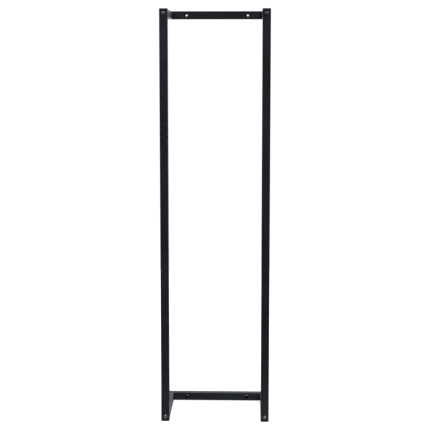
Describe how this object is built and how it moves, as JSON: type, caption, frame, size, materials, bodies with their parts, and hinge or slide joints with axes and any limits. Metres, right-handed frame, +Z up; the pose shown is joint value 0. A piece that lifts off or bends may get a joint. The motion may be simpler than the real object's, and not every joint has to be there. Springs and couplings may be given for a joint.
{
  "type": "firewood log rack",
  "caption": "Tall narrow open rack for stacked firewood, made of black square steel tube, standing on the floor and screwed to a wall at top and bottom.",
  "frame": {"origin": "middle of the rack's overall footprint, on the floor under the foot caps", "axes": "+Z up the posts, +X to the right seen from the front, +Y from the posts back to the wall"},
  "size_m": [0.395, 0.3044, 1.5],
  "materials": {
    "black_coat": "satin black powder coat on steel, fine orange-peel texture",
    "cap_plastic": "moulded black polyethylene, matt",
    "bolt_black": "black-zinc plated steel, slightly glossy",
    "plain_steel": "bare and zinc plated steel inside the tubes"
  },
  "bodies": {
    "root": {"left_post": "black_coat", "right_post": "black_coat", "left_post_foot_cap": "cap_plastic", "left_post_top_cap": "cap_plastic", "right_post_foot_cap": "cap_plastic", "right_post_top_cap": "cap_plastic", "top_rail": "black_coat", "top_left_arm": "black_coat", "top_right_arm": "black_coat", "bottom_rail": "black_coat", "bottom_left_arm": "black_coat", "bottom_right_arm": "black_coat", "top_left_nut_plate": "plain_steel", "top_right_nut_plate": "plain_steel", "bottom_left_nut_plate": "plain_steel", "bottom_right_nut_plate": "plain_steel", "top_left_weld_nut": "plain_steel", "top_right_weld_nut": "plain_steel", "bottom_left_weld_nut": "plain_steel", "bottom_right_weld_nut": "plain_steel", "top_left_bolt": "bolt_black", "top_right_bolt": "bolt_black", "bottom_left_bolt": "bolt_black", "bottom_right_bolt": "bolt_black", "top_left_corner_weld": "black_coat", "top_right_corner_weld": "black_coat", "bottom_left_corner_weld": "black_coat", "bottom_right_corner_weld": "black_coat"}
  },
  "joints": []
}
